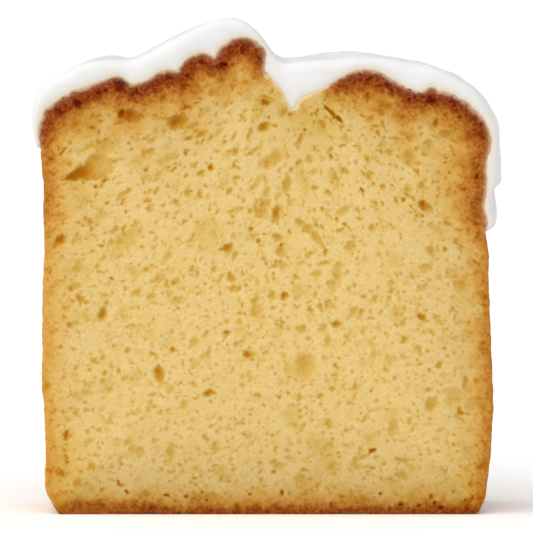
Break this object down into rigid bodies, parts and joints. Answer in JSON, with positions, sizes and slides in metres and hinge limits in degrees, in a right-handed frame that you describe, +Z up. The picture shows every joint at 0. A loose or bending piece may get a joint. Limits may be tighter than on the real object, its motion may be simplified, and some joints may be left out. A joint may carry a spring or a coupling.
{
  "type": "iced pound cake slice",
  "caption": "Thick upright slice of golden pound cake with a browned crust, a cracked top and white icing that runs over it and drips down its sides.",
  "frame": {"origin": "middle of the slice's base, on the surface that it stands on", "axes": "+Z up from the baked base to the iced top, +X to the right along the slice's width when its front cut faces the viewer, +Y through the slice's thickness from the front cut to the back cut"},
  "size_m": [0.0946, 0.027, 0.0995],
  "materials": {
    "cake_crumb": "matt yellow crumb full of small pores, browned to a dark crust on top and a golden one on the sides and base",
    "white_icing": "smooth satin white icing, slightly translucent at its edges"
  },
  "bodies": {
    "root": {"cake": "cake_crumb", "icing": "white_icing"}
  },
  "joints": []
}
